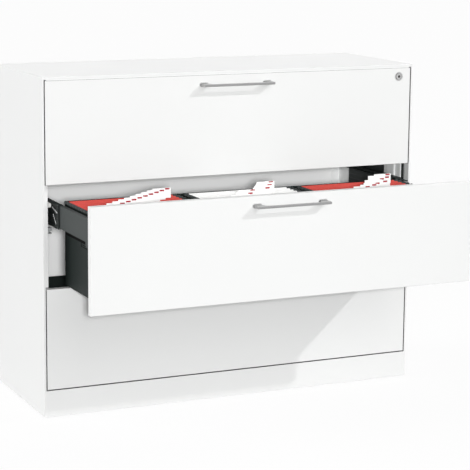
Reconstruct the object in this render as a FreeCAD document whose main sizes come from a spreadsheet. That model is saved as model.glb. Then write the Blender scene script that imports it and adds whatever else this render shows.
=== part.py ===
import FreeCAD, Part

import os
import re

import Sketcher

# Wide three-drawer filing cabinet, in millimetres.
# The middle drawer stands open, as it does at rest.
# The origin is on the floor, in the middle of the space taken with that drawer open.
# +X is to the right seen from the front, +Y to the back, +Z up.

# Driving sizes. Each is one cell of the sheet.
SIZES = {
    # Whole cabinet
    "width": 1200,
    "depth": 435,
    "height": 992,
    # Carcass shell: folded sheet steel
    "carcass_sheet": 1,
    "top_edge": 8,
    "side_edge": 5,
    "side_return": 26,
    "side_lip": 16,
    "side_lip_gap": 1.5,
    "side_lip_margin": 4,
    "rear_flange": 14,
    "floor_clearance": 3,
    # Plinth and bottom panel
    "plinth_height": 81,
    "plinth_lip": 26,
    "bottom_drop": 8,
    "bottom_flange": 20,
    # Front rail under the top panel
    "rail_depth": 28,
    "rail_height": 20,
    # Posts that carry the runners
    "post_setback": 40,
    "front_post_width": 82,
    "post_projection": 12,
    "post_rib_rise": 4,
    "post_rib_width": 16,
    "rear_post_width": 93,
    "rear_post_flange": 28,
    "post_slot_width": 5,
    "post_slot_height": 14,
    "post_slot_margin": 48.5,
    # Levelling feet
    "foot_radius": 18,
    "foot_height": 10,
    "foot_stem_radius": 5,
    "foot_inset": 45,
    # Drawer fronts: hollow, with a liner in the back
    "front_gap": 3,
    "front_thickness": 20,
    "front_sheet": 1,
    "front_edge_radius": 1.2,
    # Bow handle
    "handle_length": 228,
    "handle_reach": 32,
    "handle_bar": 7,
    "handle_height": 7,
    "handle_foot": 22,
    "handle_slope": 8,
    "handle_drop": 28,
    "handle_edge_radius": 0.8,
    # Drawer tray
    "overtravel": 1,
    "drawer_back_gap": 69,
    "drawer_sheet": 1.2,
    "drawer_floor_rise": 8,
    "rim_drop": 45,
    "file_rail_drop": 50,
    "drawer_side_inset": 65,
    "side_foot": 20,
    "divider_width": 41,
    "divider_height": 29,
    # Drawer runner: a closed band outside the drawer, with a shoulder that meets the drawer's side
    "runner_sheet": 1.5,
    "band_inset": 40,
    "band_width": 13,
    "band_lift": 23,
    "band_height": 65,
    "band_overrun": 55,
    "shoulder_lift": 12,
    "shoulder_height": 28,
    "catch_length": 70,
    "catch_height": 22,
    "catch_setback": 70,
    # Cabinet runner: a channel that opens towards the drawer
    "runner_drop": 45,
    "runner_height": 96,
    "runner_reach": 18,
    "runner_setback": 4,
    "runner_back_gap": 35,
    # Middle runner, between the other two
    "middle_gap": 1.5,
    "middle_lip": 13.5,
    "middle_flange": 13,
    "middle_setback": 2,
    "middle_travel": 53,
    "middle_shortfall": 24,
    "slide_clearance": 0.4,
    "glide_thickness": 1.2,
    "glide_width": 8,
    # Rollers, their pins and the slide pads
    "roller_radius": 9.5,
    "roller_width": 9,
    "roller_chamfer": 1.2,
    "roller_offset": 6.5,
    "roller_setback": 10,
    "roller_clearance": 0.3,
    "pin_radius": 3,
    "pin_fit": 0.05,
    "pin_shoulder_radius": 4.5,
    "pin_head": 1.2,
    "pad_setback": 141,
    "pad_length": 24,
    "pad_height": 18,
    # Bumper at the front end, bracket at the back end of a cabinet runner
    "bumper_length": 16,
    "bumper_height": 15,
    "bumper_toe": 6,
    "bracket_length": 112,
    "bracket_height": 82,
    "bracket_sheet": 1.5,
    "bracket_corner_radius": 22,
    "bracket_hole_radius": 2.5,
    "bracket_hole_step": 14,
    # Lock
    "lock_inset": 40,
    "lock_drop": 26,
    "lock_collar_radius": 11,
    "lock_collar_proud": 2.5,
    "lock_barrel_radius": 9,
    "lock_hole_clearance": 0.2,
    "lock_core_radius": 7,
    "lock_core_recess": 0.5,
    "key_slot_width": 2.2,
    "key_slot_height": 8,
    "key_slot_depth": 6,
    "cam_radius": 12,
    "cam_thickness": 2,
    "cam_gap": 1,
    "cam_throw": 8.5,
    "cam_pin_radius": 2,
    "cam_pin_clearance": 0.5,
    # Lock bar, beside the right front post
    "bar_inset": 6,
    "bar_thickness": 2.5,
    "bar_front_gap": 1,
    "bar_post_gap": 0.3,
    "tab_thickness": 2,
    "tab_height": 18,
    "tab_margin": 8,
    "hook_rise": 20,
    "hook_height": 12,
    "hook_reach": 22,
    "lift_clearance": 1,
    "lock_catch_gap": 7,
    "lock_catch_width": 14,
    "lock_catch_height": 15,
    "lock_catch_reach": 16,
    # Hanging files, A4
    "file_side_gap": 6,
    "file_hook_lap": 9,
    "file_floor_gap": 3.6,
    "file_thickness": 5,
    "file_rise": 4,
    "file_hook_height": 5,
    "file_hook_thickness": 3,
    "file_setback": 88,
    "file_back_gap": 20,
    "file_tab_width": 58,
    "file_tab_height": 26,
    "file_tab_thickness": 1.5,
    "file_tab_inset": 9,
    "file_tab_end": 23,
}

# How many files hang in each lane, which of them have a tab, and how many slots each post has.
FILES_IN_LANE = 12
TABBED_FILES = range(2, 11)
POST_SLOTS = 17

# Sizes that follow from the driving ones.
RULES = {
    "half_width": "width / 2",
    "drawer_depth": "depth - drawer_back_gap",
    "open_travel": "drawer_depth + overtravel",
    "front_plane": "(open_travel + handle_reach - depth) / 2",
    "shell_top": "height - top_edge",
    "back_inside": "depth - 2 * carcass_sheet",
    "front_height": "(height - plinth_height - top_edge - 4 * front_gap) / 3",
    "front_step": "front_height + front_gap",
    "first_front": "plinth_height + front_gap",
    "front_half": "half_width - side_edge - front_gap",
    "bottom_top": "plinth_height - bottom_drop",
    "plinth_shelf": "side_return + carcass_sheet",
    "post_inset": "post_projection + post_rib_rise",
    "post_slot_span": "shell_top - bottom_top - 2 * post_slot_margin - post_slot_height",
    "runner_inset": "post_inset",
    "runner_front": "front_thickness + runner_setback",
    "runner_length": "depth - runner_front - runner_back_gap",
    "runner_rise": "front_height - runner_drop - runner_height",
    "runner_edge": "runner_inset + runner_reach",
    "runner_inner": "runner_inset + runner_sheet",
    "middle_web": "runner_edge + middle_gap",
    "middle_inner": "middle_web + runner_sheet",
    "middle_length": "runner_length - middle_shortfall",
    "lip_top": "runner_rise + runner_height - runner_sheet - slide_clearance",
    "lip_bottom": "lip_top - runner_sheet",
    "roller_inset": "runner_inner + roller_offset",
    "roller_rise": "lip_bottom - roller_clearance - roller_radius",
    "roller_front": "runner_front + roller_setback",
    "band_rise": "runner_rise + band_lift",
    "band_top": "band_rise + band_height",
    "band_inner": "band_inset + band_width",
    "band_length": "drawer_depth - front_thickness + band_overrun",
    "shoulder_rise": "band_rise + shoulder_lift",
    "shoulder_top": "shoulder_rise + shoulder_height",
    "middle_guide": "band_top + slide_clearance",
    "glide_top": "band_rise - roller_clearance",
    "middle_foot": "glide_top - glide_thickness",
    "side_inner": "drawer_side_inset + drawer_sheet",
    "floor_top": "drawer_floor_rise + 2 * drawer_sheet",
    "rim_rise": "front_height - rim_drop",
    "file_rail_rise": "front_height - file_rail_drop",
    "tray_half": "half_width - drawer_side_inset",
    "lane_width": "(2 * tray_half - 2 * divider_width) / 3",
    "divider_middle": "lane_width / 2 + divider_width / 2",
    "lane_step": "lane_width + divider_width",
    "lock_x": "front_half - lock_inset",
    "lock_rise": "front_height - lock_drop",
    "core_back": "front_thickness + cam_gap",
    "cam_back": "core_back + cam_thickness",
    "bar_front": "side_return + bar_front_gap",
    "bar_width": "post_setback - bar_post_gap - bar_front",
    "bar_inner": "bar_inset + bar_thickness",
    "throw_side": "cam_throw * sqrt(2) / 2",
    "hook_top": "hook_rise + hook_height + 2 * throw_side",
    "file_width": "lane_width - 2 * file_side_gap",
    "file_hook_width": "lane_width + 2 * file_hook_lap",
    "file_height": "file_rail_rise + file_rise - floor_top - file_floor_gap",
    "file_span": "drawer_depth - file_setback - file_thickness - file_back_gap",
    "file_pitch": f"file_span / {FILES_IN_LANE - 1}",
    "file_tab_span": "file_width - file_tab_inset - file_tab_width - file_tab_end",
    "file_tab_step": f"file_tab_span / {len(TABBED_FILES) - 1}",
}

# Index of each drawer from the bottom, and how far it stands open at rest.
DRAWERS = {"bottom": (0, "0"), "middle": (1, "open_travel"), "top": (2, "0")}

# Places of a bracket's holes in steps along it and up it.
BRACKET_HOLES = ((2, 1), (4, 2))

# Shares of a larger size.
TOP_ROUNDING_SHARE = 0.5
REAR_SLOT_SHARE = 0.25
BUMPER_SLOPE_SHARE = 0.5
CATCH_ROUNDING_SHARE = 0.33

# Two coordinates closer than this are the same.
FLAT_TOLERANCE = 1e-6

doc = FreeCAD.newDocument("FilingCabinet")
nodes = []


def make_sheet():
    """The sheet of driving sizes, one aliased cell each."""
    sheet = doc.addObject("Spreadsheet::Sheet", "Sizes")
    for row, (name, value) in enumerate(SIZES.items(), start=1):
        sheet.set(f"A{row}", name)
        sheet.set(f"B{row}", str(value))
        sheet.setAlias(f"B{row}", name)
    doc.recompute()


def formula(text):
    """Spell a formula in size names out in cells of the sheet."""

    def cell(match):
        word = match.group(0)
        if word in RULES:
            return "(" + formula(RULES[word]) + ")"
        return "Sizes." + word if word in SIZES else word

    return re.sub(r"[a-z][a-z_]*", cell, str(text))


def bind(thing, path, text):
    thing.setExpression(path, formula(text))


def place(thing, x="0", y="0", z="0"):
    """Put a body, box or cylinder at a point given in size names."""
    for axis, text in zip("xyz", (x, y, z)):
        bind(thing, f"Placement.Base.{axis}", text)
    return thing


def drawer_z(index):
    """Height of the lower edge of a drawer's front."""
    return f"first_front + {index} * front_step"


def drawer_y(opening):
    """The plane of a drawer's front, for how far the drawer is open."""
    return f"front_plane - {opening}"


# Building blocks


def keep(thing, label):
    """Name a finished piece as a node of the part."""
    thing.Label = label
    nodes.append(thing)
    return thing


def box(name, length, width, height, x, y, z):
    thing = doc.addObject("Part::Box", name)
    bind(thing, "Length", length)
    bind(thing, "Width", width)
    bind(thing, "Height", height)
    return place(thing, x, y, z)


def cylinder(name, radius, height, x, y, z, axis=None):
    """A cylinder along +Z, or along the given axis."""
    thing = doc.addObject("Part::Cylinder", name)
    bind(thing, "Radius", radius)
    bind(thing, "Height", height)
    if axis is not None:
        thing.Placement.Rotation = FreeCAD.Rotation(FreeCAD.Vector(0, 0, 1), axis)
    return place(thing, x, y, z)


def join(name, pieces):
    thing = doc.addObject("Part::MultiFuse", name)
    thing.Shapes = pieces
    return thing


def group(name, pieces):
    """Separate solids that share one node."""
    thing = doc.addObject("Part::Compound", name)
    thing.Links = pieces
    return thing


def mirrored(name, source):
    """The same piece on the other side of the cabinet."""
    thing = doc.addObject("Part::Mirroring", name)
    thing.Source = source
    thing.Normal = (1, 0, 0)
    thing.Base = (0, 0, 0)
    return thing


def new_body(name):
    return doc.addObject("PartDesign::Body", name)


def outline(body, name, plane, points, offset="0"):
    """A closed outline on one of the body's own planes, its corners bound to sizes."""
    sketch = body.newObject("Sketcher::SketchObject", name)
    support = [f for f in body.Origin.OriginFeatures if f.Role == plane][0]
    sketch.AttachmentSupport = [(support, "")]
    sketch.MapMode = "FlatFace"
    bind(sketch, "AttachmentOffset.Base.z", offset)
    corners = [(evaluate(x), evaluate(y)) for x, y in points]
    for start, end in zip(corners, corners[1:] + corners[:1]):
        line = Part.LineSegment(FreeCAD.Vector(*start, 0), FreeCAD.Vector(*end, 0))
        sketch.addGeometry(line, False)
    for i in range(len(points)):
        sketch.addConstraint(Sketcher.Constraint("Coincident", i, 2, (i + 1) % len(points), 1))
    for i, (texts, corner) in enumerate(zip(points, corners)):
        for kind, text, value in zip(("DistanceX", "DistanceY"), texts, corner):
            constraint = sketch.addConstraint(Sketcher.Constraint(kind, -1, 1, i, 1, value))
            bind(sketch, f"Constraints[{constraint}]", text)
    return sketch


def evaluate(text):
    """The present value of a formula, for a sketch's first drawing."""
    return float(doc.getObject("Sizes").evalExpression(formula(text)))


def round_hole(body, name, x, y, radius, plane="YZ_Plane"):
    """A circle on one of the body's planes, its centre and radius bound to sizes."""
    sketch = body.newObject("Sketcher::SketchObject", name)
    support = [f for f in body.Origin.OriginFeatures if f.Role == plane][0]
    sketch.AttachmentSupport = [(support, "")]
    sketch.MapMode = "FlatFace"
    centre = FreeCAD.Vector(evaluate(x), evaluate(y), 0)
    sketch.addGeometry(Part.Circle(centre, FreeCAD.Vector(0, 0, 1), evaluate(radius)), False)
    across = sketch.addConstraint(Sketcher.Constraint("DistanceX", -1, 1, 0, 3, centre.x))
    up = sketch.addConstraint(Sketcher.Constraint("DistanceY", -1, 1, 0, 3, centre.y))
    size = sketch.addConstraint(Sketcher.Constraint("Radius", 0, evaluate(radius)))
    bind(sketch, f"Constraints[{across}]", x)
    bind(sketch, f"Constraints[{up}]", y)
    bind(sketch, f"Constraints[{size}]", radius)
    return sketch


def rectangle(left, right, low, high):
    return [(left, low), (right, low), (right, high), (left, high)]


def pad(body, name, sketch, length, reverse=False):
    feature = body.newObject("PartDesign::Pad", name)
    feature.Profile = sketch
    feature.Reversed = reverse
    bind(feature, "Length", length)
    return feature


def pocket(body, name, sketch, length, reverse=False):
    """Cut an outline into the body, and make sure that it takes material away."""
    doc.recompute()
    before = body.Shape.Volume
    feature = body.newObject("PartDesign::Pocket", name)
    feature.Profile = sketch
    feature.Reversed = reverse
    bind(feature, "Length", length)
    doc.recompute()
    if not body.Shape.Volume < before:
        raise RuntimeError(f"{name} cuts nothing")
    return feature


def round_edges(body, name, radius, chosen):
    """Round the edges of the body's tip that pass the test."""
    doc.recompute()
    tip = body.Tip
    names = [f"Edge{i}" for i, edge in enumerate(tip.Shape.Edges, start=1) if chosen(edge)]
    feature = body.newObject("PartDesign::Fillet", name)
    feature.Base = (tip, names)
    bind(feature, "Radius", radius)
    return feature


def extrusion(name, plane, points, length, reverse=False):
    """A body of one constant section."""
    body = new_body(name)
    pad(body, name + "Pad", outline(body, name + "Outline", plane, points), length, reverse)
    return body


def turned(name, plane, points):
    """A body turned about the first axis of the outline's plane."""
    body = new_body(name)
    sketch = outline(body, name + "Outline", plane, points)
    feature = body.newObject("PartDesign::Revolution", name + "Turn")
    feature.Profile = sketch
    feature.ReferenceAxis = (sketch, ["H_Axis"])
    feature.Angle = 360
    return body


def flat_at(edge, axis, value):
    """Whether an edge lies in a plane square to an axis."""
    low = getattr(edge.BoundBox, axis + "Min")
    high = getattr(edge.BoundBox, axis + "Max")
    return abs(low - value) < FLAT_TOLERANCE and abs(high - value) < FLAT_TOLERANCE


# Carcass


def top_panel():
    """A shallow folded tray, open underneath, that closes the cabinet."""
    body = new_body("TopPanel")
    outer = rectangle("0", "width", "0", "depth")
    pad(body, "TopPanelTray", outline(body, "TopPanelOutline", "XY_Plane", outer), "top_edge")
    near = "carcass_sheet"
    inner = rectangle(near, f"width - {near}", near, f"depth - {near}")
    hollow = outline(body, "TopPanelHollow", "XY_Plane", inner)
    pocket(body, "TopPanelInside", hollow, "top_edge - carcass_sheet", reverse=True)
    rim = evaluate("top_edge")
    radius = f"front_edge_radius * {TOP_ROUNDING_SHARE}"
    round_edges(body, "TopPanelEdges", radius, lambda e: flat_at(e, "Z", rim))
    place(body, "0 - half_width", "front_plane", "shell_top")
    keep(body, "top_panel")


def side_panels():
    """Folded sides: a return at the front edge, a flange at the back.

    The left one also has a lip behind the fronts, where the right one leaves room for the lock bar.
    """
    section = [
        ("0", "0"),
        ("side_edge", "0"),
        ("side_edge", "side_return"),
        ("side_edge - carcass_sheet", "side_return"),
        ("side_edge - carcass_sheet", "carcass_sheet"),
        ("carcass_sheet", "carcass_sheet"),
        ("carcass_sheet", "depth - carcass_sheet"),
        ("rear_flange", "depth - carcass_sheet"),
        ("rear_flange", "depth"),
        ("0", "depth"),
    ]
    left = extrusion("LeftSide", "XY_Plane", section, "shell_top - floor_clearance")
    place(left, "0 - half_width", "front_plane", "floor_clearance")
    keep(mirrored("RightSide", left), "right_side_panel")
    start = "side_edge - half_width"
    front = "front_plane + front_thickness + side_lip_gap"
    low = "plinth_height + side_lip_margin"
    height = f"shell_top - rail_height - side_lip_margin - ({low})"
    lip = box("LeftSideLip", "side_lip", "carcass_sheet", height, start, front, low)
    keep(join("LeftSideWithLip", [left, lip]), "left_side_panel")


def back_panel():
    panel = box(
        "BackPanel",
        "width - 2 * carcass_sheet",
        "carcass_sheet",
        "shell_top - floor_clearance",
        "carcass_sheet - half_width",
        "front_plane + back_inside",
        "floor_clearance",
    )
    keep(panel, "back_panel")


def bottom_panel():
    """A plate that closes the bottom, with a flange down behind the plinth."""
    section = [
        ("plinth_shelf", "bottom_top - bottom_flange"),
        ("plinth_shelf + carcass_sheet", "bottom_top - bottom_flange"),
        ("plinth_shelf + carcass_sheet", "bottom_top - carcass_sheet"),
        ("back_inside", "bottom_top - carcass_sheet"),
        ("back_inside", "bottom_top"),
        ("plinth_shelf", "bottom_top"),
    ]
    panel = extrusion("BottomPanel", "YZ_Plane", section, "width - 2 * carcass_sheet")
    keep(place(panel, "carcass_sheet - half_width", "front_plane"), "bottom_panel")


def plinth():
    """Kick panel at the front: its face, a shelf on top and a return at the floor."""
    low, sheet = "floor_clearance", "carcass_sheet"
    shelf = "plinth_shelf"
    section = [
        ("0", low),
        (shelf, low),
        (shelf, "floor_clearance + carcass_sheet"),
        (sheet, "floor_clearance + carcass_sheet"),
        (sheet, "plinth_height - carcass_sheet"),
        ("plinth_shelf - carcass_sheet", "plinth_height - carcass_sheet"),
        ("plinth_shelf - carcass_sheet", "plinth_height - plinth_lip"),
        (shelf, "plinth_height - plinth_lip"),
        (shelf, "plinth_height"),
        ("0", "plinth_height"),
    ]
    panel = extrusion("Plinth", "YZ_Plane", section, "width - 2 * side_edge")
    keep(place(panel, "side_edge - half_width", "front_plane"), "plinth")


def top_front_rail():
    """Angle that ties the front posts together under the top panel."""
    section = [
        ("post_setback", "shell_top - rail_height"),
        ("post_setback + carcass_sheet", "shell_top - rail_height"),
        ("post_setback + carcass_sheet", "shell_top - carcass_sheet"),
        ("post_setback + rail_depth", "shell_top - carcass_sheet"),
        ("post_setback + rail_depth", "shell_top"),
        ("post_setback", "shell_top"),
    ]
    rail = extrusion("TopFrontRail", "YZ_Plane", section, "width - 2 * post_projection")
    keep(place(rail, "post_projection - half_width", "front_plane"), "top_front_rail")


def post_slots(body, name, middle):
    """A row of hook slots up a post, cut through its inner wall."""
    left, right = f"{middle} - post_slot_width / 2", f"{middle} + post_slot_width / 2"
    slot = rectangle(left, right, "post_slot_margin", "post_slot_margin + post_slot_height")
    sketch = outline(body, name + "Slot", "YZ_Plane", slot, "carcass_sheet")
    cut = pocket(body, name + "SlotCut", sketch, "post_inset", reverse=True)
    pattern = body.newObject("PartDesign::LinearPattern", name + "Slots")
    pattern.Originals = [cut]
    vertical = [f for f in body.Origin.OriginFeatures if f.Role == "Z_Axis"][0]
    pattern.Direction = (vertical, [""])
    bind(pattern, "Length", "post_slot_span")
    pattern.Occurrences = POST_SLOTS
    body.Tip = pattern
    doc.recompute()


def front_posts():
    """Uprights behind the fronts, stiffened by one rib."""
    rib_start = "(front_post_width - post_rib_width) / 2"
    rib_end = "(front_post_width + post_rib_width) / 2"
    sheet, flat, rib = "carcass_sheet", "post_projection", "post_inset"
    section = [
        (sheet, "0"),
        (flat, "0"),
        (flat, f"{rib_start} - post_rib_rise"),
        (rib, rib_start),
        (rib, rib_end),
        (flat, f"{rib_end} + post_rib_rise"),
        (flat, "front_post_width"),
        (sheet, "front_post_width"),
        (sheet, "front_post_width - carcass_sheet"),
        (f"{flat} - carcass_sheet", "front_post_width - carcass_sheet"),
        (f"{flat} - carcass_sheet", f"{rib_end} + post_rib_rise"),
        (f"{rib} - carcass_sheet", f"{rib_end}"),
        (f"{rib} - carcass_sheet", f"{rib_start}"),
        (f"{flat} - carcass_sheet", f"{rib_start} - post_rib_rise"),
        (f"{flat} - carcass_sheet", sheet),
        (sheet, sheet),
    ]
    left = extrusion("FrontLeftPost", "XY_Plane", section, "shell_top - bottom_top")
    post_slots(left, "FrontPost", "front_post_width / 2")
    place(left, "0 - half_width", "front_plane + post_setback", "bottom_top")
    keep(left, "front_left_post")
    keep(mirrored("FrontRightPost", left), "front_right_post")


def rear_posts():
    """Uprights in the back corners, flanged along the back panel."""
    sheet, face = "carcass_sheet", "post_inset"
    wall = "rear_post_width"
    section = [
        (sheet, "0"),
        (face, "0"),
        (face, f"{wall} - carcass_sheet"),
        (f"{face} + rear_post_flange", f"{wall} - carcass_sheet"),
        (f"{face} + rear_post_flange", wall),
        (f"{face} - carcass_sheet", wall),
        (f"{face} - carcass_sheet", sheet),
        (sheet, sheet),
    ]
    left = extrusion("RearLeftPost", "XY_Plane", section, "shell_top - bottom_top")
    post_slots(left, "RearPost", f"rear_post_width * {REAR_SLOT_SHARE}")
    place(left, "0 - half_width", "front_plane + back_inside - rear_post_width", "bottom_top")
    keep(left, "rear_left_post")
    keep(mirrored("RearRightPost", left), "rear_right_post")


def levelling_feet():
    """Four screwed feet that stand on the floor and carry the bottom panel."""
    places = {
        "FrontLeft": ("foot_inset - half_width", "front_plane + foot_inset"),
        "FrontRight": ("half_width - foot_inset", "front_plane + foot_inset"),
        "RearLeft": ("foot_inset - half_width", "front_plane + depth - foot_inset"),
        "RearRight": ("half_width - foot_inset", "front_plane + depth - foot_inset"),
    }
    height = "bottom_top - carcass_sheet"
    feet = []
    for corner, (x, y) in places.items():
        base = cylinder(f"{corner}FootPad", "foot_radius", "foot_height", x, y, "0")
        stem = cylinder(f"{corner}FootStem", "foot_stem_radius", height, x, y, "0")
        feet.append(join(f"{corner}Foot", [base, stem]))
    keep(group("LevellingFeet", feet), "levelling_feet")


# Cabinet runners and what sits in them


def each_drawer(maker, name, label):
    """One piece of a kind at each drawer on the left, and the same on the right."""
    left = [maker(f"{name}{index}", index) for index, _ in DRAWERS.values()]
    right = [mirrored(f"{name}Right{i}", piece) for i, piece in enumerate(left)]
    keep(group(name + "LeftGroup", left), "left_" + label)
    keep(group(name + "RightGroup", right), "right_" + label)


def both_sides(maker, name, label):
    """One piece of a kind at each drawer on both sides, all in one node."""
    left = [maker(f"{name}{index}", index) for index, _ in DRAWERS.values()]
    right = [mirrored(f"{name}Right{i}", piece) for i, piece in enumerate(left)]
    keep(group(name + "Group", left + right), label)


def cabinet_runner(name, index):
    """Channel fixed to the posts, open towards the drawer."""
    low, high = "runner_rise", "runner_rise + runner_height"
    back, edge, web = "runner_inset", "runner_edge", "runner_inner"
    section = [
        (back, low),
        (edge, low),
        (edge, f"{low} + runner_sheet"),
        (web, f"{low} + runner_sheet"),
        (web, f"{high} - runner_sheet"),
        (edge, f"{high} - runner_sheet"),
        (edge, high),
        (back, high),
    ]
    body = extrusion(name, "XZ_Plane", section, "runner_length", reverse=True)
    return place(body, "0 - half_width", "front_plane + runner_front", drawer_z(index))


def runner_bumper(name, index):
    """Wedge at the front end of the channel's floor that stops the drawer softly."""
    low = "runner_rise + runner_sheet"
    section = [
        ("runner_inner", low),
        ("runner_inner + bumper_toe", low),
        ("runner_edge - slide_clearance", f"{low} + bumper_height * {BUMPER_SLOPE_SHARE}"),
        ("runner_edge - slide_clearance", f"{low} + bumper_height"),
        ("runner_inner", f"{low} + bumper_height"),
    ]
    body = extrusion(name, "XZ_Plane", section, "bumper_length", reverse=True)
    return place(body, "0 - half_width", "front_plane + runner_front", drawer_z(index))


def runner_bracket(name, index):
    """Light plate that ties the back end of the channel to the rear post."""
    body = new_body(name)
    low = "runner_rise + runner_sheet"
    plate = rectangle("0", "bracket_length", low, f"{low} + bracket_height")
    sketch = outline(body, name + "Outline", "YZ_Plane", plate)
    pad(body, name + "Plate", sketch, "bracket_sheet")
    top = evaluate(f"{low} + bracket_height")
    corner = lambda e: flat_at(e, "Y", 0) and flat_at(e, "Z", top)
    round_edges(body, name + "Corner", "bracket_corner_radius", corner)
    for i, (along, up) in enumerate(BRACKET_HOLES):
        x, y = f"{along} * bracket_hole_step", f"{low} + {up} * bracket_hole_step"
        hole = round_hole(body, f"{name}Hole{i}", x, y, "bracket_hole_radius")
        pocket(body, f"{name}Drill{i}", hole, "bracket_sheet", reverse=True)
    start = "front_plane + runner_front + runner_length - bracket_length"
    return place(body, "runner_inner - half_width", start, drawer_z(index))


def roller_pin(name, index):
    """Stepped rivet from the channel's wall through the roller."""
    shoulder, shank = "pin_shoulder_radius", "pin_radius"
    start = "roller_offset - roller_clearance"
    head = "roller_offset + roller_width + roller_clearance"
    section = [
        ("0", "0"),
        ("0", shoulder),
        (start, shoulder),
        (start, shank),
        (head, shank),
        (head, shoulder),
        (f"{head} + pin_head", shoulder),
        (f"{head} + pin_head", "0"),
    ]
    pin = turned(name, "XY_Plane", section)
    height = f"{drawer_z(index)} + roller_rise"
    return place(pin, "runner_inner - half_width", "front_plane + roller_front", height)


def slide_pad(name, index):
    """Block that carries the middle runner's lip further back in the channel."""
    return box(
        name,
        "roller_offset + roller_width",
        "pad_length",
        "pad_height",
        "runner_inner - half_width",
        "front_plane + runner_front + pad_setback",
        f"{drawer_z(index)} + lip_bottom - roller_clearance - pad_height",
    )


def front_rollers(drawer, index):
    """The white rollers on one axis, left and right, under the middle runners' lips."""
    bore = "pin_radius + pin_fit"
    section = [
        ("0", bore),
        ("0", "roller_radius - roller_chamfer"),
        ("roller_chamfer", "roller_radius"),
        ("roller_width - roller_chamfer", "roller_radius"),
        ("roller_width", "roller_radius - roller_chamfer"),
        ("roller_width", bore),
    ]
    left = turned(f"{drawer}Roller", "XY_Plane", section)
    height = f"{drawer_z(index)} + roller_rise"
    place(left, "roller_inset - half_width", "front_plane + roller_front", height)
    right = mirrored(f"{drawer}RollerRight", left)
    keep(group(f"{drawer}Rollers", [left, right]), f"{drawer}_front_rollers")


# Middle runners


def middle_runners(drawer, index, opening):
    """The members that come out part of the way: a lip over the roller, a channel round the drawer's band."""
    web, inner = "middle_web", "middle_inner"
    lip, flange = "middle_inner - middle_lip - runner_sheet", "middle_inner + middle_flange"
    section = [
        (lip, "lip_bottom"),
        (web, "lip_bottom"),
        (web, "middle_foot - runner_sheet"),
        (flange, "middle_foot - runner_sheet"),
        (flange, "middle_foot"),
        (inner, "middle_foot"),
        (inner, "middle_guide"),
        (flange, "middle_guide"),
        (flange, "middle_guide + runner_sheet"),
        (inner, "middle_guide + runner_sheet"),
        (inner, "lip_top"),
        (lip, "lip_top"),
    ]
    left = extrusion(f"{drawer}Middle", "XZ_Plane", section, "middle_length", reverse=True)
    out = f"{opening} * middle_travel / open_travel"
    start = f"front_plane + runner_front + middle_setback - {out}"
    place(left, "0 - half_width", start, drawer_z(index))
    right = mirrored(f"{drawer}MiddleRight", left)
    keep(group(f"{drawer}Middles", [left, right]), f"{drawer}_middle_runners")
    glide = box(
        f"{drawer}Glide",
        "glide_width",
        "middle_length",
        "glide_thickness",
        "band_inset - half_width",
        start,
        f"{drawer_z(index)} + middle_foot",
    )
    other = mirrored(f"{drawer}GlideRight", glide)
    keep(group(f"{drawer}Glides", [glide, other]), f"{drawer}_glide_strips")


# Drawers


def front_panel(drawer, index, opening):
    """Folded front: an outer face with a return all round, open at the back."""
    body = new_body(f"{drawer}Front")
    outer = rectangle("0 - front_half", "front_half", "0", "front_height")
    sketch = outline(body, f"{drawer}FrontOutline", "XZ_Plane", outer)
    pad(body, f"{drawer}FrontTray", sketch, "front_thickness", reverse=True)
    near, far = "front_sheet - front_half", "front_half - front_sheet"
    inner = rectangle(near, far, "front_sheet", "front_height - front_sheet")
    hollow = outline(body, f"{drawer}FrontHollow", "XZ_Plane", inner, "0 - front_sheet")
    pocket(body, f"{drawer}FrontInside", hollow, "front_thickness - front_sheet")
    if drawer == "top":
        hole_radius = "lock_barrel_radius + lock_hole_clearance"
        hole = round_hole(body, "LockHole", "lock_x", "lock_rise", hole_radius, "XZ_Plane")
        pocket(body, "LockHoleCut", hole, "front_sheet")
    half, rise = evaluate("front_half"), evaluate("front_height")
    rim = lambda e: flat_at(e, "Y", 0) and (
        flat_at(e, "X", half) or flat_at(e, "X", -half) or flat_at(e, "Z", 0) or flat_at(e, "Z", rise)
    )
    round_edges(body, f"{drawer}FrontEdges", "front_edge_radius", rim)
    place(body, "0", drawer_y(opening), drawer_z(index))
    keep(body, f"{drawer}_front_panel")


def front_liner(drawer, index, opening):
    """Plate that closes the back of the front, with the catch that the lock bar meets."""
    body = new_body(f"{drawer}Liner")
    near, far = "front_sheet - front_half", "front_half - front_sheet"
    plate = rectangle(near, far, "front_sheet", "front_height - front_sheet")
    start = "front_thickness - drawer_sheet"
    sketch = outline(body, f"{drawer}LinerOutline", "XZ_Plane", plate, f"0 - ({start})")
    pad(body, f"{drawer}LinerPlate", sketch, "drawer_sheet", reverse=True)
    low = "hook_top + lift_clearance"
    side = "half_width - bar_inner - lock_catch_gap"
    arm = rectangle(f"{side} - lock_catch_width", side, low, f"{low} + lock_catch_height")
    catch = outline(body, f"{drawer}CatchOutline", "XZ_Plane", arm, "0 - front_thickness")
    pad(body, f"{drawer}Catch", catch, "lock_catch_reach", reverse=True)
    if drawer == "top":
        hole_radius = "lock_barrel_radius + lock_hole_clearance"
        hole = round_hole(body, "LinerHole", "lock_x", "lock_rise", hole_radius, "XZ_Plane")
        pocket(body, "LinerHoleCut", hole, "front_thickness")
    place(body, "0", drawer_y(opening), drawer_z(index))
    keep(body, f"{drawer}_front_liner")


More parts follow.
